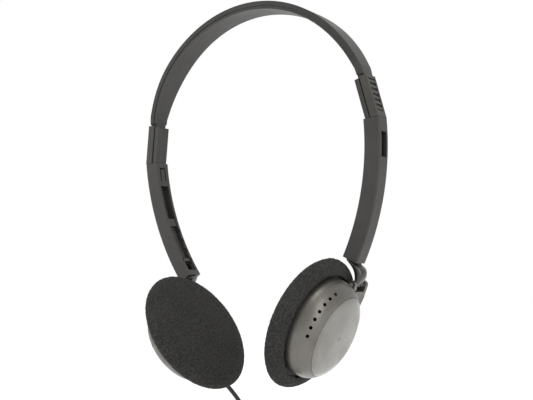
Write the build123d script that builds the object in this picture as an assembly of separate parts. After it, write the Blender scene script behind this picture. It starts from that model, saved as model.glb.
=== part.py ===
"""Lightweight on-ear radio headphones: headband, grips, sliding arms, swivelling and tilting cups, cord.

Millimetres.  +X runs from the left ear to the right one, +Y to the back of the head, +Z up.
The origin is on the underside of the headband's crown, where it rests on the head.
Right-hand pieces are modelled; left-hand ones are their mirror images.
"""
import os
from math import atan2, cos, pi, radians, sin, tan

from build123d import *

os.makedirs("parts", exist_ok=True)

# ---- headband ----
CROWN_R = 61.7              # outer radius of the strip over the crown
CROWN_END_DEG = 66.0        # the arc ends here and the strip runs on straight
BAND_W = 12.4               # over the crown; the band narrows towards the grips
BAND_END_W = 8.2
TUCK_W = 6.8                # the tongue held inside a grip
STRIP_T = 2.0
LINER_T = 1.4
WIRE_D = 1.0                # wire that feeds the far cup, in a groove under the strip
WIRE_GAP = 0.1
TUCK = 7.0                  # length of band held inside each grip

# ---- grips: a straight two-part block at each end of the band ----
GRIP_TOP_X = 59.6
GRIP_TOP_DROP = 43.8        # below the top of the crown
GRIP_DROP = 18.5
GRIP_LEAN = 3.7             # how much further out the grip's lower end stands
GRIP_W = 8.0
COVER_T = 3.4
GROOVE_T = 0.6              # dark groove between the cover and the plate
PLATE_T = 2.0
GRIP_SKIN = 1.0             # cover thickness outside the band
RIB_COUNT = 6
RIVET_R = 0.8
RIVET_HEAD_R = 1.2

# ---- arms: curved channels that slide on the rails ----
ARM_R = 116.0               # radius of the arm's outer face
ARM_PROUD = 0.2             # arm's outer face outside the grip's
ARM_T = 7.0
ARM_W = 8.2
ARM_DEG = 30.6
FACE_WALL = 1.4             # outer wall of the channel
BRIDGE_T = 1.4              # wall on the head's side that closes the top of the channel
BRIDGE_DEG = 5.9
CHANNEL_W = 5.4
FOOT_DEG = 1.4              # solid wall at the arm's lower end
WINDOW_W = 4.4
WINDOW_DEGS = (2.9, 8.1)
NOTCH_PITCH_DEG = 2.7
RAIL_R = 112.0              # middle of the rail
RAIL_T = 1.2
RAIL_W = 4.4
STOP_W = 5.0
RAIL_DEG = 26.8
STOP_DEGS = (14.6, 16.6)
SEAM_GAP = 0.2

# ---- cups ----
CUP_FORWARD = 15.8          # cup's centre in front of the arm
CUP_X = 25.2               # middle of the pad's face
CUP_Z = -138.6
CUP_TILT = 26.5
PAD_R = 29.8
PAD_BACK = 10.2             # depth of the pad behind its face
PAD_FRONT = 6.7             # foam in front of the baffle
FLANGE_R = 26.0
FLANGE_T = 1.3
SOFT_GAP = 0.3
SHELL_R = 21.6
SHELL_CORNER = 9.0
SHELL_TOP = 20.2            # dome's highest point, from the pad's face
SHELL_T = 1.6
BADGE_R = 18.0
BADGE_T = 0.7
BADGE_GAP = 0.15
VENT_R = 0.75
VENT_COUNT = 7
VENT_STEP = 10.7
VENT_FIRST = 25.0
PIN_R = 0.8
PIN_OUT = 12.4
PIN_UP = 19.6
RUN_GAP = 0.05              # radial clearance of a running fit
NECK_W = 7.2
FORK_GAP = 0.4
EAR_T = 1.9
SPINDLE_R = 1.2
SPINDLE_NECK_R = 0.8
CLIP_T = 0.6
CLIP_R = 1.75
COIL_R = 7.0                # driver's moving coil
DRIVER_R = 16.0

# ---- cord ----
CORD_D = 2.0
RELIEF_OUT = 12.6
RELIEF_R = 2.0
RELIEF_L = 5.0
RELIEF_BOSS_R = 1.3
RELIEF_TURN = 27.0          # round the cup from its lowest point, towards the back
COIL_X, COIL_Y, COIL_Z = -13.0, -2.0, -213.0
COIL_MID_R = 11.0
COIL_HALF = 4.0             # half of the wound bundle, across and along the turns
TIE_T = 0.8
TIE_GAP = 0.1
PLUG_R = 3.2
PLUG_BODY_L = 18.0
JACK_R = 1.75
JACK_L = 14.0

BAND_T = STRIP_T + LINER_T
CROWN_TOP = BAND_T
CROWN_Z = CROWN_TOP - CROWN_R
GRIP_A = Vector(GRIP_TOP_X, 0, CROWN_TOP - GRIP_TOP_DROP)
GRIP_B = GRIP_A + Vector(GRIP_LEAN, 0, -GRIP_DROP)
GRIP_L = (GRIP_B - GRIP_A).length
GRIP_DOWN = (GRIP_B - GRIP_A).normalized()
GRIP_IN = Vector(GRIP_DOWN.Z, 0, -GRIP_DOWN.X)
ARC_X = GRIP_B.X + ARM_PROUD - ARM_R
ARC_Z = GRIP_B.Z
ARM_IN_R = ARM_R - ARM_T


def slab(points, width, y=0.0):
    """Extrude an XZ outline, width wide and centred on y."""
    face = make_face(Polyline(*[(p[0], 0, p[1]) for p in points], close=True))
    return Pos(0, y, 0) * extrude(face, width / 2, dir=(0, 1, 0), both=True)


def arc_point(radius, deg):
    """A point of the arm's arc, deg below the horizontal."""
    return Vector(ARC_X + radius * cos(radians(deg)), 0, ARC_Z - radius * sin(radians(deg)))


def arc_slab(r_in, r_out, deg_a, deg_b, width, y=0.0):
    """A curved bar about the arm's arc centre."""
    mid = (deg_a + deg_b) / 2
    edges = [
        ThreePointArc(arc_point(r_out, deg_a), arc_point(r_out, mid), arc_point(r_out, deg_b)),
        Line(arc_point(r_out, deg_b), arc_point(r_in, deg_b)),
        ThreePointArc(arc_point(r_in, deg_b), arc_point(r_in, mid), arc_point(r_in, deg_a)),
        Line(arc_point(r_in, deg_a), arc_point(r_out, deg_a)),
    ]
    return Pos(0, y, 0) * extrude(make_face(edges), width / 2, dir=(0, 1, 0), both=True)


def grip_point(along, depth):
    return GRIP_A + GRIP_DOWN * along + GRIP_IN * depth


def grip_slab(along_a, along_b, depth_a, depth_b, width, y=0.0):
    corners = [(along_a, depth_a), (along_b, depth_a), (along_b, depth_b), (along_a, depth_b)]
    points = [grip_point(*corner) for corner in corners]
    return slab([(p.X, p.Z) for p in points], width, y)


def crown_point(depth, deg):
    r = CROWN_R - depth
    return Vector(r * sin(radians(deg)), 0, CROWN_Z + r * cos(radians(deg)))


def grip_entry(depth):
    """Where the band's straight stretch meets its line inside the grip, at a depth in the band."""
    start = crown_point(depth, CROWN_END_DEG)
    run = Vector(cos(radians(CROWN_END_DEG)), 0, -sin(radians(CROWN_END_DEG)))
    line = grip_point(0, GRIP_SKIN + depth)
    gap = line - start
    cross = run.X * GRIP_DOWN.Z - run.Z * GRIP_DOWN.X
    return start + run * ((gap.X * GRIP_DOWN.Z - gap.Z * GRIP_DOWN.X) / cross)


def band_half(depth_a, depth_b, tuck):
    """XZ face of the right half of a band layer between two depths."""
    side = {}
    for depth in (depth_a, depth_b):
        side[depth] = (crown_point(depth, 0), crown_point(depth, CROWN_END_DEG / 2),
                       crown_point(depth, CROWN_END_DEG), grip_entry(depth), grip_point(tuck, GRIP_SKIN + depth))
    a, b = side[depth_a], side[depth_b]
    return make_face([
        ThreePointArc(a[0], a[1], a[2]), Line(a[2], a[3]), Line(a[3], a[4]), Line(a[4], b[4]),
        Line(b[4], b[3]), Line(b[3], b[2]), ThreePointArc(b[2], b[1], b[0]), Line(b[0], a[0]),
    ])


def band_layer(depth_a, depth_b, width, tuck):
    half = extrude(band_half(depth_a, depth_b, tuck), width / 2, dir=(0, 1, 0), both=True)
    return half + mirror(half, Plane.YZ)


def band_taper(inset):
    """Front outline of the band: full width over the crown, narrow at the grips, a tongue below."""
    full, end, tongue = BAND_W / 2 - inset, BAND_END_W / 2 - inset, TUCK_W / 2 - inset
    drop = full - end
    flank = [(full, -14), (full - 0.1 * drop, -20), (full - 0.4 * drop, -28), (full - 0.75 * drop, -35), (end, GRIP_A.Z + 0.6)]
    edges = [Line((0, 0, 10), (0, full, 10)), Line((0, full, 10), (0, full, -14)),
             Spline(*[(0, y, z) for y, z in flank]), Line((0, end, GRIP_A.Z + 0.6), (0, tongue, GRIP_A.Z + 0.2)),
             Line((0, tongue, GRIP_A.Z + 0.2), (0, tongue, -70)), Line((0, tongue, -70), (0, 0, -70)),
             Line((0, 0, -70), (0, 0, 10))]
    half = extrude(make_face(edges), 80, dir=(1, 0, 0), both=True)
    return half + mirror(half, Plane.XZ)


def wire_path(depth):
    return Wire([ThreePointArc(crown_point(depth, -CROWN_END_DEG), crown_point(depth, 0),
                               crown_point(depth, CROWN_END_DEG))])


# ---- cup's own frame: X out of the ear, Y back, Z up the cup ----
CUP = Location((CUP_X, -CUP_FORWARD, CUP_Z)) * Rotation(0, CUP_TILT, 0)


def in_cup(shape):
    return CUP * shape


def lathe(points):
    """Turn an (out, radius) outline about the cup's axis."""
    face = make_face(Polyline(*[(out, radius, 0) for out, radius in points], close=True))
    return revolve(face, Axis.X)


def rod(out_a, out_b, radius, y=0.0, up=0.0):
    """A round bar along the cup's axis."""
    return Pos((out_a + out_b) / 2, y, up) * Rotation(0, 90, 0) * Cylinder(radius, out_b - out_a)


def tube(out_a, out_b, r_out, r_in):
    return rod(out_a, out_b, r_out) - rod(out_a - 1, out_b + 1, r_in)


def block(out_a, out_b, y_a, y_b, up_a, up_b):
    centre = Pos((out_a + out_b) / 2, (y_a + y_b) / 2, (up_a + up_b) / 2)
    return centre * Box(out_b - out_a, y_b - y_a, up_b - up_a)


def dome(inset):
    """Solid bowl of the shell's outline, moved in by inset."""
    base = PAD_FRONT + FLANGE_T + 0.1
    shoulder = SHELL_R - SHELL_CORNER
    top = SHELL_TOP - inset
    corner = SHELL_CORNER - inset
    corner_out = PAD_BACK + 0.4
    height = top - corner_out
    big = (height ** 2 + shoulder ** 2 - corner ** 2) / (2 * (height - corner))
    tilt = atan2(shoulder, big - height)
    big_out = top - big
    join = (big_out + big * cos(tilt), big * sin(tilt))
    half = (tilt + pi / 2) / 2
    mid_corner = (corner_out + corner * cos(half), shoulder + corner * sin(half))
    mid_big = (big_out + big * cos(tilt / 2), big * sin(tilt / 2))
    rim = shoulder + corner
    face = make_face([
        Line((base, 0, 0), (base, rim, 0)), Line((base, rim, 0), (corner_out, rim, 0)),
        ThreePointArc((corner_out, rim, 0), (*mid_corner, 0), (*join, 0)),
        ThreePointArc((*join, 0), (*mid_big, 0), (top, 0, 0)), Line((top, 0, 0), (base, 0, 0)),
    ])
    return revolve(face, Axis.X)


# ---------------------------------------------------------------- headband, grips and rails
def headband_strip():
    strip = band_layer(0, STRIP_T, BAND_W, TUCK) & band_taper(0)
    groove_w = WIRE_D + 2 * WIRE_GAP
    groove = band_layer(STRIP_T - groove_w, STRIP_T, groove_w, TUCK + 1)
    return strip - groove


def headband_liner():
    return band_layer(STRIP_T, BAND_T, BAND_W, TUCK) & band_taper(0.3)


def cross_wire():
    depth = STRIP_T - WIRE_GAP - WIRE_D / 2
    start = crown_point(depth, -CROWN_END_DEG)
    ahead = Vector(cos(radians(CROWN_END_DEG)), 0, sin(radians(CROWN_END_DEG)))
    ring = Plane(origin=start, x_dir=(0, 1, 0), z_dir=ahead)
    return sweep(ring * Circle(WIRE_D / 2), wire_path(depth))


def slide_rail():
    top = TUCK + 0.5
    depth = ARM_R - ARM_PROUD - RAIL_R
    rail = grip_slab(top, GRIP_L + 0.2, depth - RAIL_T / 2, depth + RAIL_T / 2, RAIL_W)
    rail += arc_slab(RAIL_R - RAIL_T / 2, RAIL_R + RAIL_T / 2, -0.15, RAIL_DEG, RAIL_W)
    for rivet in grip_rivets():
        rail -= rivet
    return rail


def rail_stop():
    """Moulded collar on the rail, which meets the bridge at full reach, with its detent finger."""
    rail_face = RAIL_R - RAIL_T / 2
    stop = arc_slab(ARM_IN_R + 0.3, ARM_R - FACE_WALL - 0.3, *STOP_DEGS, STOP_W)
    stop -= arc_slab(rail_face, RAIL_R + RAIL_T / 2, 0, ARM_DEG, RAIL_W)
    stop += arc_slab(rail_face - 0.7, rail_face, STOP_DEGS[0], RAIL_DEG, RAIL_W)
    return stop + arc_slab(ARM_IN_R + 0.3, rail_face, RAIL_DEG - 1.1, RAIL_DEG - 0.3, RAIL_W)


RIVET_ALONG = (10.2, 15.2)


def grip_rivets():
    rivets = []
    deep = COVER_T + GROOVE_T + PLATE_T
    for along in RIVET_ALONG:
        frame = Plane(origin=grip_point(along, 0), x_dir=(0, 1, 0), z_dir=GRIP_IN)
        shank = frame * Pos(0, 0, (1.4 + deep) / 2) * Cylinder(RIVET_R, deep - 1.4)
        head = frame * Pos(0, 0, deep - 0.3) * Cylinder(RIVET_HEAD_R, 0.6)
        rivets.append(shank + head)
    return rivets


def level_foot(shape):
    """Trim a grip piece level, just clear of the arm's top face."""
    return shape - Pos(GRIP_B.X, 0, GRIP_B.Z + SEAM_GAP - 10) * Box(40, 40, 20)


def grip_inside():
    inside = [headband_strip(), headband_liner(), slide_rail()]
    return inside + grip_rivets()


def grip_cover():
    cover = grip_slab(0, GRIP_L + 2, 0, COVER_T, GRIP_W)
    panel_top, panel_foot, rim, sunk = 1.4, 3.0, 1.1, 0.7
    panel_l = GRIP_L - panel_top - panel_foot
    cover -= grip_slab(panel_top, panel_top + panel_l, -1, sunk, GRIP_W - 2 * rim)
    pitch = panel_l / RIB_COUNT
    for i in range(RIB_COUNT):
        start = panel_top + pitch * (i + 0.28)
        cover += grip_slab(start, start + 0.5 * pitch, 0.1, sunk + 0.1, GRIP_W - 2 * rim)
    for piece in grip_inside():
        cover -= piece
    return level_foot(cover)


def grip_plate():
    deep = COVER_T + GROOVE_T
    plate = grip_slab(0.4, GRIP_L + 2, deep, deep + PLATE_T, GRIP_W - 0.4)
    plate += grip_slab(0.8, GRIP_L + 2, COVER_T, deep, GRIP_W - 1.8)
    for piece in grip_inside():
        plate -= piece
    return level_foot(plate)


# ---------------------------------------------------------------- arm, neck and swivel
def arm_hollow():
    floor = ARM_DEG - FOOT_DEG
    top = arc_slab(ARM_IN_R + BRIDGE_T, ARM_R - FACE_WALL, -1, BRIDGE_DEG + 0.1, CHANNEL_W)
    return top + arc_slab(ARM_IN_R - 1, ARM_R - FACE_WALL, BRIDGE_DEG, floor, CHANNEL_W)


def snap_slot():
    """U-shaped cut that frees a spring finger in the bridge."""
    slot, finger_w = 0.6, 2.6
    r_out = ARM_IN_R + BRIDGE_T + 0.1
    cut = arc_slab(ARM_IN_R - 1, r_out, 1.2, 1.5, finger_w + 2 * slot)
    for side in (-1, 1):
        cut += arc_slab(ARM_IN_R - 1, r_out, 1.2, 4.6, slot, side * (finger_w + slot) / 2)
    return cut


def arm():
    body = arc_slab(ARM_IN_R, ARM_R, 0, ARM_DEG, ARM_W)
    body = fillet(body.edges().filter_by(GeomType.CIRCLE).group_by(SortBy.RADIUS)[-1], 0.9)
    body -= arm_hollow()
    body -= arc_slab(ARM_R - FACE_WALL - 1, ARM_R + 1, *WINDOW_DEGS, WINDOW_W)
    body -= snap_slot()
    for i in range(4):
        start = RAIL_DEG - 1.2 - i * NOTCH_PITCH_DEG
        body -= arc_slab(ARM_IN_R - 1, ARM_IN_R + 1.0, start, start + 1.0, CHANNEL_W + 1.2)
    return body - swivel_rod(SPINDLE_R + RUN_GAP, -1, 8)


def arm_lead():
    """Short wire from the foot of the channel to the swivel."""
    foot = ARM_DEG - FOOT_DEG
    return arc_slab(ARM_IN_R + 0.5, ARM_IN_R + 1.3, RAIL_DEG + 0.6, foot, 0.8, 1.9)


SWIVEL_R = 112.6            # the swivel's place across the arm
SWIVEL_AT = arc_point(SWIVEL_R, ARM_DEG)
SWIVEL_UP = Vector(sin(radians(ARM_DEG)), 0, cos(radians(ARM_DEG)))


def swivel_rod(radius, start, length):
    """A round bar on the swivel's axis, from start above the seam."""
    frame = Plane(origin=SWIVEL_AT + SWIVEL_UP * (start + length / 2), x_dir=(0, 1, 0), z_dir=SWIVEL_UP)
    return frame * Cylinder(radius, length)


FOOT_T = FOOT_DEG * pi * SWIVEL_R / 180


def cup_xz(out, up):
    """XZ place of a point of the cup's frame."""
    point = (CUP * Pos(out, 0, up)).position
    return (point.X, point.Z)


def neck():
    down = SWIVEL_UP * -0.15
    outer = arc_point(ARM_R - 0.1, ARM_DEG) + down
    inner = arc_point(ARM_R - 4.5, ARM_DEG) + down
    half = 1.8
    outline = [
        (outer.X, outer.Z), cup_xz(PIN_OUT + half, PIN_UP + 3.0), cup_xz(PIN_OUT + half, PIN_UP),
        cup_xz(PIN_OUT + 0.7 * half, PIN_UP - 0.7 * half), cup_xz(PIN_OUT, PIN_UP - half),
        cup_xz(PIN_OUT - 0.7 * half, PIN_UP - 0.7 * half), cup_xz(PIN_OUT - half, PIN_UP),
        cup_xz(PIN_OUT - 1.4, PIN_UP + 3.2), cup_xz(PIN_OUT - 2.5, PIN_UP + 6.6), (inner.X, inner.Z),
    ]
    body = slab(outline, NECK_W)
    body += swivel_rod(SPINDLE_R, -1.5, 1.5 + FOOT_T + 0.1)
    body += swivel_rod(SPINDLE_NECK_R, FOOT_T, 0.8 + CLIP_T)
    body += swivel_rod(SPINDLE_R, FOOT_T + 0.2 + CLIP_T, 0.8)
    bore = in_cup(Pos(PIN_OUT, CUP_FORWARD, PIN_UP) * Rotation(90, 0, 0) * Cylinder(PIN_R + RUN_GAP, 20))
    return body - bore


def swivel_clip():
    start = FOOT_T + 0.15
    return swivel_rod(CLIP_R, start, CLIP_T - 0.05) - swivel_rod(SPINDLE_NECK_R, start - 1, CLIP_T + 2)


# ---------------------------------------------------------------- cup
EAR_IN = NECK_W / 2 + FORK_GAP / 2
EAR_OUT = EAR_IN + EAR_T


def tilt_pin():
    return Pos(PIN_OUT, CUP_FORWARD, PIN_UP) * Rotation(90, 0, 0) * Cylinder(PIN_R, 2 * EAR_OUT)


def badge_cutter(radius):
    offset = SHELL_R - BADGE_R - 0.9
    turn = radians(VENT_FIRST + VENT_STEP * (VENT_COUNT - 1) / 2)
    return rod(PAD_BACK, SHELL_TOP + 5, radius, offset * sin(turn), -offset * cos(turn))


def vent(turn_deg):
    """A vent through the shell's shoulder, square to its surface."""
    lean = 49.0
    corner_out = PAD_BACK + 0.4
    hole = Pos(SHELL_CORNER, 0, 0) * Rotation(0, 90, 0) * Cylinder(VENT_R, 5)
    hole = Pos(corner_out, 0, SHELL_R - SHELL_CORNER) * Rotation(0, -lean, 0) * hole
    return Rotation(turn_deg, 0, 0) * hole


def ears():
    """Fork that holds the tilt pin, and the shoulder that joins it to the rim."""
    y = CUP_FORWARD
    front, back, top = PIN_OUT - 1.8, PIN_OUT + 1.9, PIN_UP - 2.6
    base = [(8.0, top), (y + EAR_OUT, top), (y + EAR_OUT, 14.0), (19.8, 7.5), (17.0, 7.0)]
    face = make_face(Polyline(*[(front, a, b) for a, b in base], close=True))
    body = extrude(face, back - front, dir=(1, 0, 0))
    for side in (-1, 1):
        y_a = y + min(side * EAR_IN, side * EAR_OUT)
        body += block(front, back, y_a, y_a + EAR_T, PIN_UP - 3, PIN_UP)
        body += Pos(PIN_OUT + 0.05, y_a + EAR_T / 2, PIN_UP) * Rotation(90, 0, 0) * Cylinder(1.85, EAR_T)
    return body


def cup_shell():
    body = dome(0) + ears()
    body -= dome(SHELL_T)
    body -= rod(0, PAD_FRONT + FLANGE_T + 0.2, SHELL_R + 5)
    slot_low = PIN_UP - 2.6
    half = NECK_W / 2 + FORK_GAP / 2
    body -= block(PAD_BACK - 1, SHELL_TOP, CUP_FORWARD - half, CUP_FORWARD + half, slot_low, SHELL_R + 9)
    body -= tilt_pin()
    body -= badge_cutter(BADGE_R) - dome(BADGE_T)
    for i in range(VENT_COUNT):
        body -= vent(VENT_FIRST + i * VENT_STEP)
    return body


def cup_badge():
    return (dome(0) - dome(BADGE_T)) & badge_cutter(BADGE_R - BADGE_GAP)


def screw_places():
    ring = SHELL_R - 3.6
    return [(ring * sin(radians(a)), ring * cos(radians(a))) for a in (120, 240, 0)]


def baffle():
    """Perforated plate that carries the driver; its flange holds the pad's hem."""
    back = PAD_FRONT + SOFT_GAP + FLANGE_T
    body = rod(PAD_FRONT + SOFT_GAP, back - 0.2, FLANGE_R)
    body += tube(back - 0.3, back + 2.0, SHELL_R - SHELL_T - 0.2, SHELL_R - SHELL_T - 1.2)
    for ring, count in ((0, 1), (4.5, 6), (9, 12)):
        for i in range(count):
            a = 2 * pi * i / count
            body -= rod(0, 20, 0.9, ring * sin(a), ring * cos(a))
    for place in screw_places():
        body += rod(back - 0.3, back + 3.0, 1.7, *place)
    for place in screw_places():
        body -= rod(0, 20, 0.7, *place)
        body -= rod(0, PAD_FRONT + SOFT_GAP + 0.6, 1.3, *place)
    return body


def baffle_screws():
    start = PAD_FRONT + SOFT_GAP + 0.05
    screws = []
    for place in screw_places():
        screws.append(rod(start, start + 0.5, 1.2, *place) + rod(start, PAD_BACK + 0.6, 0.65, *place))
    return screws


DRIVER_OUT = PAD_FRONT + SOFT_GAP + FLANGE_T


def diaphragm():
    out = DRIVER_OUT + 0.5
    return lathe([(out, 0), (out, 6), (out - 0.3, 10.5), (out, 14.2), (out + 0.25, 14.2), (out, 10.5),
                  (out + 0.25, 6), (out + 0.25, 0)])


def driver_frame():
    out = DRIVER_OUT
    body = tube(out, out + 1.2, DRIVER_R, 14.3)
    body += tube(out + 1.0, out + 2.0, 15.2, 9.2)
    for i in range(6):
        a = 2 * pi * (i + 0.5) / 6
        body -= rod(out + 0.9, out + 3, 1.9, 12.1 * sin(a), 12.1 * cos(a))
    return body


def voice_coil():
    return tube(DRIVER_OUT + 0.8, DRIVER_OUT + 3.0, COIL_R + 0.3, COIL_R)


def yoke():
    out = DRIVER_OUT + 1.2
    return tube(out, out + 4.4, 9.1, 7.8) + rod(out + 3.6, out + 4.6, 9.1)


def magnet():
    return rod(DRIVER_OUT + 1.6, DRIVER_OUT + 4.8, COIL_R - 0.4)


def damping_felt():
    out = DRIVER_OUT + 2.1
    return tube(out, out + 0.8, 14.4, 9.3)


def terminal_board():
    out = DRIVER_OUT + 5.9
    body = block(out, out + 0.8, -7, 7, -4.5, 4.5)
    for y in (-4, 4):
        body += rod(out + 0.7, out + 1.6, 1.0, y, 0)
    return body


def ear_pad():
    g = SOFT_GAP
    lip = FLANGE_R + g
    hem = SHELL_R + g
    behind = PAD_FRONT + FLANGE_T + 2 * g
    face = make_face([
        Line((0, 0, 0), (0, PAD_R - 5, 0)),
        ThreePointArc((0, PAD_R - 5, 0), (1.5, PAD_R - 1.5, 0), (5, PAD_R, 0)),
        ThreePointArc((5, PAD_R, 0), (8.6, PAD_R - 2.0, 0), (PAD_BACK, PAD_R - 5.3, 0)),
        Line((PAD_BACK, PAD_R - 5.3, 0), (PAD_BACK, hem, 0)), Line((PAD_BACK, hem, 0), (behind, hem, 0)),
        Line((behind, hem, 0), (behind, lip, 0)), Line((behind, lip, 0), (PAD_FRONT, lip, 0)),
        Line((PAD_FRONT, lip, 0), (PAD_FRONT, 0, 0)), Line((PAD_FRONT, 0, 0), (0, 0, 0)),
    ])
    return revolve(face, Axis.X)


# ---------------------------------------------------------------- cord, from the left cup
def relief():
    """Tapered strain relief at the foot of the left cup, in the cup's frame."""
    top_up = 1.5 - SHELL_R
    cone = Cone(RELIEF_R, CORD_D / 2 + 0.4, RELIEF_L)
    cone = Pos(RELIEF_OUT, 0, top_up - RELIEF_L / 2) * Rotation(180, 0, 0) * cone - dome(0)
    for i in range(2):
        up = top_up - 2.4 - 1.4 * i
        cone -= Pos(RELIEF_OUT, 0, up) * (Cylinder(4, 0.6) - Cylinder(CORD_D / 2 + 0.25, 0.6))
    boss = Pos(RELIEF_OUT, 0, top_up + 0.5) * Cylinder(RELIEF_BOSS_R, 3.4)
    return Rotation(RELIEF_TURN, 0, 0) * (cone + boss)


# chosen places on the cord's way from the relief to the coil; the first is the relief's end
LEAD_POINTS = [
    (-26.50, -4.40, -164.23), (-22.1, 0.6, -173.0), (-17.8, 1.2, -181.8), (-16.3, -1.4, -190.4),
    (-18.0, -2.4, -197.8), (-22.9, -2.0, -203.1),
]
TAIL_POINTS = [(-21.0, -5.6, -212.5), (-20.6, -7.3, -221.5), (-20.6, -7.3, -231.0)]


def cord_radii(points):
    """Fillet radius at each inner point: 0.45 of the shorter run over the tangent of half the turn."""
    radii = []
    for a, b, c in zip(points, points[1:], points[2:]):
        one, two = Vector(b) - Vector(a), Vector(c) - Vector(b)
        radii.append(0.45 * min(one.length, two.length) / tan(radians(one.get_angle(two)) / 2))
    return radii


def cord_tube(points, name):
    radii = cord_radii(points)
    print(name, "radii", [round(r, 1) for r in radii])
    path = FilletPolyline(*points, radius=radii)
    start = Plane(origin=path @ 0, z_dir=path % 0)
    solid = sweep(start * Circle(CORD_D / 2), path)
    print(name, "length", round(path.length, 1), "volume", round(solid.volume, 2),
          "section times length", round(pi * CORD_D ** 2 / 4 * path.length, 2))
    return solid


def coil_ring(grow, turn_deg):
    """The wound bundle's outer shape about the coil's own axis, or a slice of it."""
    half = COIL_HALF + grow
    face = RectangleRounded(2 * half, 2 * half, 1.2 + grow)
    face = Pos(COIL_MID_R, 0, 0) * face
    ring = revolve(Plane.XY * face, Axis.Y, turn_deg)
    return ring


def cord_coil():
    return Pos(COIL_X, COIL_Y, COIL_Z) * coil_ring(0, 360)


def coil_tie():
    width_deg = 26
    band = coil_ring(TIE_GAP + TIE_T, width_deg) - coil_ring(TIE_GAP, 360)
    return Pos(COIL_X, COIL_Y, COIL_Z) * Rotation(0, -90 - width_deg / 2, 0) * band


PLUG_AT = Vector(*TAIL_POINTS[-1])


def plug_rod(down_a, down_b, radius, radius_b=None):
    length = down_b - down_a
    place = Pos(PLUG_AT.X, PLUG_AT.Y, PLUG_AT.Z - (down_a + down_b) / 2)
    if radius_b is None:
        return place * Cylinder(radius, length)
    return place * Rotation(180, 0, 0) * Cone(radius, radius_b, length)


def plug_body():
    """Moulded handle with a tapered relief."""
    taper = 7.0
    body = plug_rod(0, taper, 1.5, PLUG_R - 0.5) + plug_rod(taper, PLUG_BODY_L, PLUG_R)
    for i in range(5):
        down = taper + 2.0 + 1.6 * i
        body -= plug_rod(down, down + 0.7, PLUG_R + 1) - plug_rod(down, down + 0.7, PLUG_R - 0.35)
    return body


SLEEVE_L, RING_L, INSULATOR_L = 8.4, 1.6, 0.7


def plug_sleeve():
    return plug_rod(PLUG_BODY_L, PLUG_BODY_L + SLEEVE_L, JACK_R)


def plug_insulators():
    first = PLUG_BODY_L + SLEEVE_L
    second = first + INSULATOR_L + RING_L
    return [plug_rod(down, down + INSULATOR_L, JACK_R) for down in (first, second)]


def plug_ring():
    start = PLUG_BODY_L + SLEEVE_L + INSULATOR_L
    return plug_rod(start, start + RING_L, JACK_R)


def plug_tip():
    start = PLUG_BODY_L + SLEEVE_L + 2 * INSULATOR_L + RING_L
    end = PLUG_BODY_L + JACK_L
    groove = start + 0.6
    body = plug_rod(start, groove, JACK_R, 1.15) + plug_rod(groove, groove + 0.7, 1.15, JACK_R - 0.1)
    return body + plug_rod(groove + 0.7, end, JACK_R - 0.1, 0.5)


# ---------------------------------------------------------------- write the nodes
def save(name, shape):
    pieces = list(shape) if isinstance(shape, (list, tuple)) else [shape]
    solids = [solid for piece in pieces for solid in piece.solids()]
    whole = solids[0] if len(solids) == 1 else Compound(children=solids)
    export_step(whole, os.path.join("parts", name + ".step"))


def both_sides(name, shape):
    pieces = list(shape) if isinstance(shape, (list, tuple)) else [shape]
    save("right_" + name, pieces)
    save("left_" + name, [mirror(piece, Plane.YZ) for piece in pieces])


save("headband_strip", headband_strip())
save("headband_liner", headband_liner())
save("cross_wire", cross_wire())
both_sides("grip_cover", grip_cover())
both_sides("grip_plate", grip_plate())
both_sides("slide_rail", slide_rail())
both_sides("rail_stop", rail_stop())
right_rivets = grip_rivets()
save("grip_rivets", right_rivets + [mirror(rivet, Plane.YZ) for rivet in right_rivets])

both_sides("arm", arm())
both_sides("arm_lead", arm_lead())
both_sides("neck", neck())
both_sides("swivel_clip", swivel_clip())

CUP_PIECES = {
    "tilt_pin": tilt_pin, "cup_shell": cup_shell, "cup_badge": cup_badge, "baffle": baffle,
    "baffle_screws": baffle_screws, "diaphragm": diaphragm, "driver_frame": driver_frame,
    "voice_coil": voice_coil, "yoke": yoke, "magnet": magnet, "damping_felt": damping_felt,
    "terminal_board": terminal_board, "ear_pad": ear_pad,
}
for node, make in CUP_PIECES.items():
    made = make()
    pieces = made if isinstance(made, list) else [made]
    if node == "cup_shell":
        save("right_cup_shell", in_cup(made))
        holed = made - Rotation(RELIEF_TURN, 0, 0) * Pos(RELIEF_OUT, 0, -SHELL_R) * Cylinder(RELIEF_BOSS_R, 8)
        save("left_cup_shell", mirror(in_cup(holed), Plane.YZ))
    else:
        both_sides(node, [in_cup(piece) for piece in pieces])

save("cord_relief", mirror(in_cup(relief()), Plane.YZ))
save("cord_lead", cord_tube(LEAD_POINTS, "cord_lead"))
save("cord_tail", cord_tube(TAIL_POINTS, "cord_tail"))
save("cord_coil", cord_coil())
save("coil_tie", coil_tie())
save("plug_body", plug_body())
save("plug_sleeve", plug_sleeve())
save("plug_insulators", plug_insulators())
save("plug_ring", plug_ring())
save("plug_tip", plug_tip())
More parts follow.
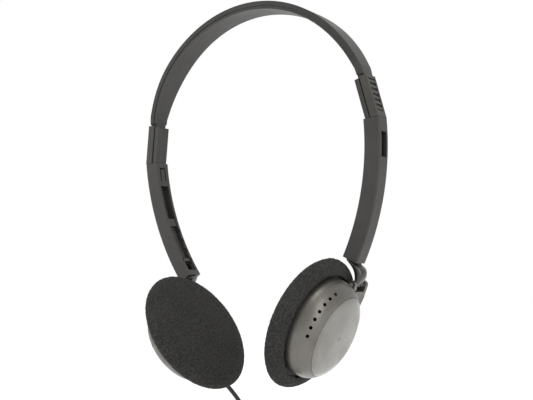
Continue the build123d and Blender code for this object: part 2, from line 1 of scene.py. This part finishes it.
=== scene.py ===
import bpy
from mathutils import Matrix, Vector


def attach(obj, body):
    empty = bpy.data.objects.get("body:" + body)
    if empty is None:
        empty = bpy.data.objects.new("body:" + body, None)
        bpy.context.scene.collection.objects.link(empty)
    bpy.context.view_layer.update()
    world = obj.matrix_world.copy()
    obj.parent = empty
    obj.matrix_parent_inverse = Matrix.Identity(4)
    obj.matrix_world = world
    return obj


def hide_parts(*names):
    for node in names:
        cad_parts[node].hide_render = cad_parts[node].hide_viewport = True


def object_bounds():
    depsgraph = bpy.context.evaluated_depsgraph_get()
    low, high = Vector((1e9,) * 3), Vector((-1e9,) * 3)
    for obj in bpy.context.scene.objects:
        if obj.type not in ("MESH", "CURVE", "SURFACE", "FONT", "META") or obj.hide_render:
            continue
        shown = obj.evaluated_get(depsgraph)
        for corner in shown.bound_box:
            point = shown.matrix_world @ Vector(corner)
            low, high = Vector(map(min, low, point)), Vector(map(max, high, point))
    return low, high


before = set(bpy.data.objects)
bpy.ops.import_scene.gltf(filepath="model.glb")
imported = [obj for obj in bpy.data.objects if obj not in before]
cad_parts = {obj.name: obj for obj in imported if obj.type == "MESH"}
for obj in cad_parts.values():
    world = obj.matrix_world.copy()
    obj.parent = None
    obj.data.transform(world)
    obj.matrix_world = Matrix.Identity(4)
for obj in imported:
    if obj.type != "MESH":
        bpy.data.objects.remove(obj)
cad_box = [list(corner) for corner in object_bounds()]

from math import cos, pi, radians, sin

import bpy
from mathutils import Matrix, Vector

# ---- Camera, floor and lights ----
# The headset is seen from its front right at about eye level, a little from below its middle, with a
# longish lens held slightly askew. The floor and the walls are plain white.
MM = 0.001
scene = bpy.context.scene
CAMERA_TURN = radians(34.05)
CAMERA_RISE = radians(-3.31)
CAMERA_ROLL = radians(-4.61)
CAMERA_AWAY = 405.8 * MM
CAMERA_AIM = Vector((0, 0, -112.2 * MM))


def deselect():
    """Leave nothing selected, so that the next operator acts on its own piece alone."""
    if bpy.context.object and bpy.context.object.mode != "OBJECT":
        bpy.ops.object.mode_set(mode="OBJECT")
    bpy.ops.object.select_all(action="DESELECT")


level = Vector((cos(CAMERA_TURN), sin(CAMERA_TURN), 0))
outward = Vector((sin(CAMERA_TURN), -cos(CAMERA_TURN), 0))
away = outward * cos(CAMERA_RISE) + Vector((0, 0, sin(CAMERA_RISE)))
upright = away.cross(level)
right = level * cos(CAMERA_ROLL) + upright * sin(CAMERA_ROLL)
top = upright * cos(CAMERA_ROLL) - level * sin(CAMERA_ROLL)
facing = Matrix((right, top, away)).transposed().to_4x4()

deselect()
bpy.ops.object.camera_add()
camera = bpy.context.object
camera.name = "camera"
camera.matrix_world = Matrix.Translation(CAMERA_AIM + away * CAMERA_AWAY) @ facing
camera.data.sensor_width = 36
camera.data.lens = 61.17
camera.data.shift_y = 0.1145
camera.data.clip_start = 10 * MM
scene.camera = camera

FLOOR_SIZE = 12
FLOOR_DROP = 4 * MM
deselect()
bpy.ops.mesh.primitive_plane_add(size=FLOOR_SIZE, location=(0, 0, cad_box[0][2] - FLOOR_DROP))
floor = bpy.context.object
floor.name = "floor"
white = bpy.data.materials.new("white_floor")
white.use_nodes = True
paper = white.node_tree.nodes["Principled BSDF"]
paper.inputs["Base Color"].default_value = (0.9, 0.9, 0.9, 1)
paper.inputs["Roughness"].default_value = 0.9
paper.inputs["Emission Color"].default_value = (1, 1, 1, 1)
paper.inputs["Emission Strength"].default_value = 0.25
floor.data.materials.append(white)

world = bpy.data.worlds.new("white_room")
world.use_nodes = True
world.node_tree.nodes["Background"].inputs["Color"].default_value = (1, 1, 1, 1)
world.node_tree.nodes["Background"].inputs["Strength"].default_value = 1.0
scene.world = world
scene.view_settings.view_transform = "Standard"

# name, place, watts, width and height of each softbox
SOFTBOXES = [
    ("softbox_top", (0.05, -0.25, 0.75), 3.5, 0.7, 0.5),
    ("softbox_left", (-0.8, -0.5, 0.25), 2.5, 0.5, 0.8),
    ("softbox_right", (0.8, -0.35, 0.15), 3.5, 0.4, 0.8),
]
for name, place, watts, width, height in SOFTBOXES:
    deselect()
    bpy.ops.object.light_add(type="AREA", location=place)
    lamp = bpy.context.object
    lamp.name = name
    lamp.data.shape = "RECTANGLE"
    lamp.data.size = width
    lamp.data.size_y = height
    lamp.data.energy = watts
    lamp.rotation_euler = (CAMERA_AIM - Vector(place)).to_track_quat("-Z", "Y").to_euler()


# ---- Moulded charcoal plastic: band, grips and arms ----
# The frame of the headset is injection-moulded in a dark warm grey, with a fine spark-eroded grain on the
# faces and a slightly polished look where fingers rub it.
class Socket:
    """An output of a shader node; arithmetic on it adds Math nodes."""

    def __init__(self, finish, output):
        self.finish = finish
        self.output = output

    def math(self, operation, *values):
        return self.finish.node("ShaderNodeMath", {"operation": operation}, values)

    def __add__(self, other):
        return self.math("ADD", self, other)

    def __sub__(self, other):
        return self.math("SUBTRACT", self, other)

    def __rsub__(self, other):
        return self.math("SUBTRACT", other, self)

    def __mul__(self, other):
        return self.math("MULTIPLY", self, other)

    __radd__ = __add__
    __rmul__ = __mul__

    def over(self, low, high):
        """0 below low, 1 above high, and a ramp between them."""
        values = {"Value": self, "From Min": low, "From Max": high}
        return self.finish.node("ShaderNodeMapRange", {"clamp": True}, values)


class Finish:
    """A material with one Principled shader; node() adds any other node."""

    def __init__(self, name, **fixed):
        self.material = bpy.data.materials.new(name)
        self.material.use_nodes = True
        self.tree = self.material.node_tree
        self.shader = self.tree.nodes["Principled BSDF"]
        for label, value in fixed.items():
            self.set(label.replace("_", " "), value)

    def link(self, slot, value):
        if isinstance(value, Socket):
            self.tree.links.new(value.output, slot)
        else:
            slot.default_value = value

    def node(self, kind, settings, values, output=0):
        made = self.tree.nodes.new(kind)
        for key, value in settings.items():
            setattr(made, key, value)
        pairs = values.items() if isinstance(values, dict) else enumerate(values)
        for key, value in pairs:
            self.link(made.inputs[key], value)
        return Socket(self, made.outputs[output])

    def set(self, label, value):
        self.link(self.shader.inputs[label], value)

    def place(self):
        return self.node("ShaderNodeTexCoord", {}, {}, "Object")

    def noise(self, scale, detail=3.0, rough=0.5, vector=None):
        values = {"Vector": vector or self.place(), "Scale": scale, "Detail": detail, "Roughness": rough}
        return self.node("ShaderNodeTexNoise", {}, values)

    def cells(self, scale, output):
        values = {"Vector": self.place(), "Scale": scale}
        return self.node("ShaderNodeTexVoronoi", {}, values, output)

    def mix(self, factor, one, two):
        """From colour one, where the factor is 0, to colour two, where it is 1."""
        FACTOR_INPUT, FIRST_COLOUR, SECOND_COLOUR, COLOUR_OUTPUT = 0, 6, 7, 2
        values = {FACTOR_INPUT: factor, FIRST_COLOUR: one, SECOND_COLOUR: two}
        return self.node("ShaderNodeMix", {"data_type": "RGBA"}, values, COLOUR_OUTPUT)

    def bump(self, height, strength, depth):
        values = {"Height": height, "Strength": strength, "Distance": depth}
        self.set("Normal", self.node("ShaderNodeBump", {}, values))


def paint(finish, node_names):
    """Give CAD nodes a finish."""
    for name in node_names:
        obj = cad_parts[name]
        obj.data.materials.clear()
        obj.data.materials.append(finish.material)


def moulded(name, dark, light, rough, grain, specular=0.3):
    """A moulded plastic: mottled colour, fine grain, and rub marks that take the roughness down."""
    finish = Finish(name, Specular_IOR_Level=specular)
    mottle = finish.noise(scale=120, detail=4).over(low=0.35, high=0.7)
    fine = finish.noise(scale=4200, detail=2)
    rubbed = finish.noise(scale=45, detail=5, rough=0.65).over(low=0.5, high=0.68)
    finish.set("Base Color", finish.mix(mottle * 0.7 + rubbed * 0.3, (*dark, 1), (*light, 1)))
    finish.set("Roughness", rough + 0.05 * mottle - 0.09 * rubbed + 0.04 * fine)
    finish.bump(fine, strength=grain, depth=0.06 * MM)
    return finish


band_plastic = moulded("band_plastic", (0.016, 0.0155, 0.014), (0.026, 0.025, 0.022), rough=0.42, grain=0.35)
arm_plastic = moulded("arm_plastic", (0.021, 0.020, 0.018), (0.032, 0.030, 0.027), rough=0.45, grain=0.45)
grip_plastic = moulded("grip_plastic", (0.024, 0.023, 0.020), (0.038, 0.036, 0.031), rough=0.47, grain=0.45)
liner_plastic = moulded("liner_plastic", (0.020, 0.019, 0.017), (0.030, 0.029, 0.026), rough=0.40, grain=0.25)
SIDES = ("left_", "right_")


def both(*names):
    """The names of the left-hand and right-hand nodes."""
    return [side + name for side in SIDES for name in names]


paint(band_plastic, ["headband_strip"])
paint(liner_plastic, ["headband_liner"] + both("grip_plate"))
paint(grip_plastic, both("grip_cover"))
paint(arm_plastic, both("arm", "rail_stop"))


# ---- Rails, rivets and the sliding mechanism ----
# Each arm slides on a blackened spring-steel rail riveted into the grip. The swivel clips, tilt pins and
# baffle screws are bright steel, turned or stamped, and the cross wire has a black jacket.
def metal(name, colour, rough, streak):
    """A metal with fine drawn streaks along its length and a slightly uneven polish."""
    finish = Finish(name, Metallic=1.0)
    DRAWN_OUT = (1, 1, 0.08)
    SHADE = 0.72
    stretched = finish.node("ShaderNodeMapping", {}, {"Vector": finish.place(), "Scale": DRAWN_OUT})
    lines = finish.noise(scale=5200, detail=2, rough=0.6, vector=stretched)
    cloud = finish.noise(scale=260, detail=3).over(low=0.35, high=0.7)
    darker = tuple(SHADE * part for part in colour)
    finish.set("Base Color", finish.mix(cloud * 0.6, (*colour, 1), (*darker, 1)))
    finish.set("Roughness", rough + 0.12 * cloud + 0.06 * lines)
    finish.bump(lines, strength=streak, depth=0.03 * MM)
    return finish


black_steel = metal("spring_steel", (0.07, 0.07, 0.072), rough=0.38, streak=0.3)
bright_steel = metal("steel", (0.62, 0.61, 0.59), rough=0.24, streak=0.3)
wire_jacket = moulded("wire_jacket", (0.010, 0.010, 0.010), (0.018, 0.018, 0.017), rough=0.5, grain=0.1)
paint(black_steel, ["grip_rivets"] + both("slide_rail"))
paint(bright_steel, both("swivel_clip", "tilt_pin", "baffle_screws"))
paint(wire_jacket, ["cross_wire"] + both("arm_lead"))


# ---- Necks ----
# A glossy rounded neck hangs from the foot of each arm and turns on a grooved steel spindle. Its lower end
# narrows to sit in the cup's fork, on the tilt pin. It is moulded in polished black plastic.
def select(piece):
    """Select one piece alone and make it active."""
    deselect()
    piece.select_set(True)
    bpy.context.view_layer.objects.active = piece


def apply_modifier(piece, kind, **settings):
    """Add a modifier to a piece and apply it."""
    select(piece)
    bpy.ops.object.modifier_add(type=kind)
    modifier = piece.modifiers[-1]
    for key, value in settings.items():
        setattr(modifier, key, value)
    bpy.ops.object.modifier_apply(modifier=modifier.name)


# each ring down the right neck: middle x and z, lean in degrees, half thickness and half width, in mm
NECK_RINGS = [
    (44.22, -116.48, 30.6, 3.40, 3.95),
    (44.30, -117.35, 29.0, 3.40, 4.05),
    (45.75, -118.75, 17.0, 2.85, 3.95),
    (46.80, -120.60, 4.0, 2.45, 3.70),
    (47.00, -122.60, -4.0, 2.40, 3.55),
    (46.55, -124.60, -14.0, 2.30, 3.48),
    (45.55, -126.30, -22.0, 2.00, 3.42),
    (44.90, -127.50, -26.0, 1.30, 3.25),
]
NECK_SIDES = 16
NECK_LEVELS = 3
CAP_INSET = 0.25 * MM


def shaped_neck():
    """A capped ring, extruded down once for each ring and closed, then shaped and subdivided."""
    deselect()
    bpy.ops.mesh.primitive_circle_add(
        vertices=NECK_SIDES, radius=1 * MM, fill_type="NGON", location=(0, 0, 0))
    piece = bpy.context.object
    bpy.ops.object.mode_set(mode="EDIT")
    bpy.ops.mesh.select_all(action="SELECT")
    bpy.ops.mesh.inset(thickness=CAP_INSET)
    bpy.ops.mesh.select_all(action="SELECT")
    bpy.ops.mesh.region_to_loop()
    for _ in NECK_RINGS[1:]:
        bpy.ops.mesh.extrude_edges_move(TRANSFORM_OT_translate={"value": (0, 0, -1 * MM)})
    bpy.ops.mesh.edge_face_add()
    bpy.ops.mesh.inset(thickness=CAP_INSET)
    bpy.ops.object.mode_set(mode="OBJECT")
    # the rings are 1 mm apart, so a vertex's depth in mm is the number of its ring
    for vertex in piece.data.vertices:
        x, z, lean, thick, wide = NECK_RINGS[round(-vertex.co.z / MM)]
        across = vertex.co.x / MM * thick
        along = vertex.co.y / MM * wide
        slope = radians(lean)
        vertex.co = Vector((x + across * cos(slope), along, z - across * sin(slope))) * MM
    select(piece)
    bpy.ops.object.mode_set(mode="EDIT")
    bpy.ops.mesh.select_all(action="SELECT")
    bpy.ops.mesh.normals_make_consistent(inside=False)
    bpy.ops.object.mode_set(mode="OBJECT")
    apply_modifier(piece, "SUBSURF", levels=NECK_LEVELS, render_levels=NECK_LEVELS)
    bpy.ops.object.shade_smooth()
    return piece


def turned(outline, steps):
    """A piece turned about the X axis from an outline of (out, radius) points, in mm."""
    deselect()
    bpy.ops.mesh.primitive_plane_add(size=1 * MM, location=(0, 0, 0))
    piece = bpy.context.object
    bpy.ops.object.mode_set(mode="EDIT")
    bpy.ops.mesh.select_all(action="SELECT")
    bpy.ops.mesh.merge(type="CENTER")
    bpy.ops.transform.translate(value=(outline[0][0] * MM, 0, outline[0][1] * MM))
    for one, two in zip(outline, outline[1:]):
        step = ((two[0] - one[0]) * MM, 0, (two[1] - one[1]) * MM)
        bpy.ops.mesh.extrude_region_move(TRANSFORM_OT_translate={"value": step})
    bpy.ops.mesh.select_all(action="SELECT")
    bpy.ops.mesh.spin(steps=steps, angle=2 * pi, center=(0, 0, 0), axis=(1, 0, 0))
    bpy.ops.mesh.select_all(action="SELECT")
    bpy.ops.mesh.remove_doubles(threshold=0.01 * MM)
    bpy.ops.mesh.normals_make_consistent(inside=False)
    bpy.ops.object.mode_set(mode="OBJECT")
    return piece


def mirrored(piece, name):
    """The left-hand twin of a right-hand piece, with its own mesh."""
    twin = piece.copy()
    twin.data = piece.data.copy()
    twin.name = name
    twin.data.transform(Matrix.Scale(-1, 4, (1, 0, 0)))
    twin.data.flip_normals()
    scene.collection.objects.link(twin)
    return twin


neck_gloss = moulded(
    "neck_plastic", (0.014, 0.0135, 0.0125), (0.022, 0.021, 0.019), rough=0.20, grain=0.06, specular=0.5)
right_neck = shaped_neck()
right_neck.name = "right_neck_bulb"
right_neck.data.materials.append(neck_gloss.material)

SWIVEL_AT = Vector((44.42, 0, -116.22)) * MM
SWIVEL_LEAN = 30.6
SPINDLE_OUTLINE = [
    (-1.4, 0), (-1.4, 1.1), (2.7, 1.1), (2.75, 0.8), (3.55, 0.8), (3.6, 1.1), (4.2, 1.1), (4.4, 0.8),
    (4.4, 0),
]
spindle = turned(SPINDLE_OUTLINE, steps=32)
spindle.name = "right_spindle"
spindle.data.transform(Matrix.Translation(SWIVEL_AT) @ Matrix.Rotation(radians(SWIVEL_LEAN - 90), 4, "Y"))
spindle.data.materials.append(bright_steel.material)
for side, bulb, axle in (("right", right_neck, spindle),
                         ("left", mirrored(right_neck, "left_neck_bulb"), mirrored(spindle, "left_spindle"))):
    for piece, slot in ((bulb, "neck_plastic"), (axle, "steel")):
        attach(piece, side + "_neck")
    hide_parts(side + "_neck")


# ---- Cup shells and badges ----
# Each cup is a shallow bowl sprayed in a dark warm silver lacquer with fine metal flake, with seven small
# vents on its shoulder. A round badge plate in a lighter, glossier silver sits low in a recess in it.
def lacquer(name, colour, deep, rough, coat):
    """A metal-flake lacquer under a clear coat, a little duller and darker where hands hold it."""
    finish = Finish(name, Coat_Roughness=0.12)
    flake = finish.cells(scale=5200.0, output="Color")
    spark = finish.node("ShaderNodeSeparateColor", {}, {"Color": flake})
    cloud = finish.noise(scale=70, detail=4, rough=0.6).over(low=0.4, high=0.7)
    finish.set("Base Color", finish.mix(spark * 0.55 + cloud * 0.25, (*colour, 1), (*deep, 1)))
    finish.set("Metallic", 0.78 + 0.12 * spark)
    finish.set("Roughness", rough + 0.10 * cloud + 0.06 * spark)
    finish.set("Coat Weight", coat - 0.3 * cloud)
    finish.bump(finish.noise(scale=900, detail=3), strength=0.12, depth=0.03 * MM)
    return finish


cup_silver = lacquer("cup_lacquer", (0.125, 0.118, 0.106), (0.080, 0.075, 0.066), rough=0.34, coat=0.30)
badge_silver = lacquer("badge_lacquer", (0.165, 0.158, 0.142), (0.115, 0.110, 0.098), rough=0.26, coat=0.45)
paint(cup_silver, both("cup_shell"))
paint(badge_silver, both("cup_badge"))


# ---- Drivers inside the cups ----
# Behind each pad a perforated baffle carries a small moving-coil driver: a clear film diaphragm, a copper
# coil, a steel yoke round a sintered magnet, a felt ring, and a paper-phenolic board with the wire pads.
def plain_grain(name, dark, light, scale, rough, bump, **fixed):
    """A matt material with grain of one scale in its colour, roughness and surface."""
    finish = Finish(name, **fixed)
    grain = finish.noise(scale, detail=4, rough=0.6)
    finish.set("Base Color", finish.mix(grain.over(low=0.3, high=0.7), (*dark, 1), (*light, 1)))
    finish.set("Roughness", rough + 0.1 * grain)
    finish.bump(grain, strength=bump, depth=0.08 * MM)
    return finish


baffle_plastic = moulded("baffle_plastic", (0.012, 0.012, 0.012), (0.020, 0.020, 0.019), rough=0.5, grain=0.3)
film = plain_grain(
    "film", (0.72, 0.72, 0.66), (0.85, 0.85, 0.80), scale=420, rough=0.18, bump=0.1, Coat_Weight=0.5)
copper = metal("copper", (0.72, 0.30, 0.13), rough=0.26, streak=0.5)
yoke_steel = metal("yoke_steel", (0.50, 0.50, 0.48), rough=0.34, streak=0.4)
magnet = plain_grain(
    "magnet", (0.10, 0.10, 0.105), (0.20, 0.20, 0.205), scale=1800, rough=0.55, bump=0.3, Metallic=0.6)
felt = plain_grain(
    "felt", (0.05, 0.05, 0.05), (0.16, 0.155, 0.15), scale=2600, rough=0.9, bump=0.9, Sheen_Weight=0.3)
board = plain_grain("board", (0.20, 0.12, 0.05), (0.30, 0.20, 0.09), scale=1300, rough=0.55, bump=0.2)
paint(baffle_plastic, both("baffle", "driver_frame"))
paint(film, both("diaphragm"))
paint(copper, both("voice_coil"))
paint(yoke_steel, both("yoke"))
paint(magnet, both("magnet"))
paint(felt, both("damping_felt"))
paint(board, both("terminal_board"))


# ---- Foam pads ----
# Each pad is a cap of black open-celled foam, nearly 60 mm across, with a soft flat face and a rounded
# edge. Its hem is stretched over the baffle's rim. The cells show as fine pits, painted darker in their
# middles as painted shade, with a few light specks.
CUP_AT = Vector((25.2, -15.8, -138.6)) * MM
CUP_TILT = 26.5
PAD_OUTLINE = [
    (0.9, 0), (0.8, 16), (1.1, 22.6), (2.3, 26.6), (5.0, 28.9), (7.4, 28.3), (9.0, 26.8), (9.8, 24.6),
    (9.8, 22.3), (8.75, 22.3), (8.75, 26.1), (6.5, 26.1), (6.5, 0),
]
PAD_STEPS = 96
VOXEL = 0.7 * MM
SWELL = 0.8 * MM
SWELL_PRESSURE = 4
SWELL_FRAMES = 20
SEAT_OUT = 6.2 * MM
SEAT_RADIUS = 26.4 * MM
HEM_OUT = 9.0 * MM
CELL_SIZE = 1.1 * MM
CELL_DEPTH = 0.28 * MM


def swell(pad):
    """Blow the face up like cloth under pressure, with the seat and the hem held still."""
    still = [vertex.co.copy() for vertex in pad.data.vertices]
    held = pad.vertex_groups.new(name="held")
    for vertex in pad.data.vertices:
        around = Vector((vertex.co.y, vertex.co.z)).length
        in_seat = vertex.co.x > SEAT_OUT and around < SEAT_RADIUS
        if in_seat or vertex.co.x > HEM_OUT:
            held.add([vertex.index], 1.0, "REPLACE")
    cloth = pad.modifiers.new("swell", "CLOTH")
    cloth.settings.quality = 5
    cloth.settings.vertex_group_mass = "held"
    cloth.settings.use_pressure = True
    cloth.settings.uniform_pressure_force = SWELL_PRESSURE
    cloth.settings.effector_weights.gravity = 0
    cloth.point_cache.frame_start = 1
    cloth.point_cache.frame_end = SWELL_FRAMES
    for number in range(1, SWELL_FRAMES + 1):
        scene.frame_set(number)
    select(pad)
    bpy.ops.object.modifier_apply(modifier="swell")
    scene.frame_set(1)
    for vertex, start in zip(pad.data.vertices, still):
        moved = vertex.co - start
        if moved.length > SWELL:
            vertex.co = start + moved * (SWELL / moved.length)
    apply_modifier(pad, "SMOOTH", factor=0.5, iterations=4)


def foam_pad():
    """A turned cap with even faces, swollen a little, with its cells pushed into the surface."""
    pad = turned(PAD_OUTLINE, PAD_STEPS)
    apply_modifier(pad, "REMESH", mode="VOXEL", voxel_size=VOXEL)
    apply_modifier(pad, "SMOOTH", factor=0.5, iterations=6)
    swell(pad)
    apply_modifier(pad, "SUBSURF", levels=1, render_levels=1)
    cells = bpy.data.textures.new("foam_cells", "CLOUDS")
    cells.noise_scale = CELL_SIZE
    cells.noise_depth = 1
    apply_modifier(pad, "DISPLACE", texture=cells, strength=CELL_DEPTH, mid_level=0.6)
    select(pad)
    bpy.ops.object.shade_smooth()
    pad.data.transform(Matrix.Translation(CUP_AT) @ Matrix.Rotation(radians(CUP_TILT), 4, "Y"))
    return pad


foam = Finish("foam", Specular_IOR_Level=0.12)
pits = foam.cells(scale=1150.0, output="Distance")
walls = foam.noise(scale=2300, detail=5, rough=0.7)
specks = foam.noise(scale=1500, detail=3, rough=0.75).over(low=0.60, high=0.72)
patches = foam.noise(scale=95, detail=3).over(low=0.35, high=0.7)
# painted shade: the foam colour is darkest in the middle of each cell pit, as if shade fell in the hollows
pit_shaded = foam.mix(pits.over(low=0.1, high=0.75), (0.006, 0.006, 0.0055, 1), (0.026, 0.0255, 0.024, 1))
faded = foam.mix(patches * 0.35, pit_shaded, (0.030, 0.029, 0.027, 1))
foam.set("Base Color", foam.mix(specks * 0.6, faded, (0.085, 0.083, 0.078, 1)))
foam.set("Roughness", 0.82 + 0.14 * walls)
foam.bump(pits * 0.6 + walls * 0.6, strength=0.9, depth=0.22 * MM)

right_pad = foam_pad()
right_pad.name = "right_foam_pad"
right_pad.data.materials.append(foam.material)
for side, pad in (("right", right_pad), ("left", mirrored(right_pad, "left_foam_pad"))):
    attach(pad, side + "_cup")
    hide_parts(side + "_ear_pad")


# ---- Cord ----
# A limp two-core cord with a soft black jacket leaves the left cup's relief, hangs, is wound into sixteen
# turns held by a tie, and ends in a moulded jack plug. The jacket is satin, with a fine grain.
CORD_D = 2.0 * MM
lead_points = [
    (-26.50, -4.40, -164.23), (-22.1, 0.6, -173.0), (-17.8, 1.2, -181.8), (-16.3, -1.4, -190.4),
    (-18.0, -2.4, -197.8), (-22.9, -2.0, -203.1),
]
tail_points = [(-21.0, -5.6, -212.5), (-20.6, -7.3, -221.5), (-20.6, -7.3, -231.0)]
COIL_X, COIL_Y, COIL_Z = -13.0, -2.0, -213.0
COIL_LAYERS, COIL_ROWS, TURN_POINTS = 4, 4, 16
OUTER_TURN, TURN_STEP = 14.0, 2.0
COIL_START = 3 * pi / 4
HALF_TURN = 0.5
LAST_ROW = COIL_ROWS - 1

# the coil takes the place of the lead's last point and the tail's first; each layer is wound back inside
# the one before, and lies half a turn in its first row and half a turn in its last
cord_points = list(lead_points[:-1])
for i in range(COIL_LAYERS * COIL_ROWS * TURN_POINTS + 1):
    turns = i / TURN_POINTS
    layer = min(int(turns // COIL_ROWS), COIL_LAYERS - 1)
    row = min(max(turns - layer * COIL_ROWS - HALF_TURN, 0), LAST_ROW)
    if layer % 2:
        row = LAST_ROW - row
    radius = OUTER_TURN - TURN_STEP * layer
    angle = COIL_START + 2 * pi * turns
    y = COIL_Y + (row - LAST_ROW / 2) * TURN_STEP
    cord_points.append((COIL_X + radius * cos(angle), y, COIL_Z + radius * sin(angle)))
cord_points += tail_points[1:]

curve = bpy.data.curves.new("cord", "CURVE")
curve.dimensions = "3D"
curve.bevel_depth = CORD_D / 2
curve.bevel_resolution = 4
curve.resolution_u = 6
spline = curve.splines.new("NURBS")
spline.points.add(len(cord_points) - 1)
for point, (x, y, z) in zip(spline.points, cord_points):
    point.co = (x * MM, y * MM, z * MM, 1)
spline.order_u = 3
spline.use_endpoint_u = True
cord = bpy.data.objects.new("cord", curve)
scene.collection.objects.link(cord)
jacket = moulded("cord_jacket", (0.012, 0.012, 0.012), (0.020, 0.020, 0.019), rough=0.42, grain=0.15)
curve.materials.append(jacket.material)
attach(cord, "left_cup")
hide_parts("cord_lead", "cord_tail", "cord_coil")
tie_plastic = moulded("tie", (0.016, 0.016, 0.016), (0.026, 0.026, 0.025), rough=0.38, grain=0.5)
jack_metal = metal("jack_metal", (0.80, 0.60, 0.24), rough=0.18, streak=0.2)
insulator = moulded("insulator", (0.008, 0.008, 0.008), (0.014, 0.014, 0.014), rough=0.25, grain=0.1)
paint(jacket, ["cord_relief", "plug_body"])
paint(tie_plastic, ["coil_tie"])
paint(jack_metal, ["plug_sleeve", "plug_ring", "plug_tip"])
paint(insulator, ["plug_insulators"])
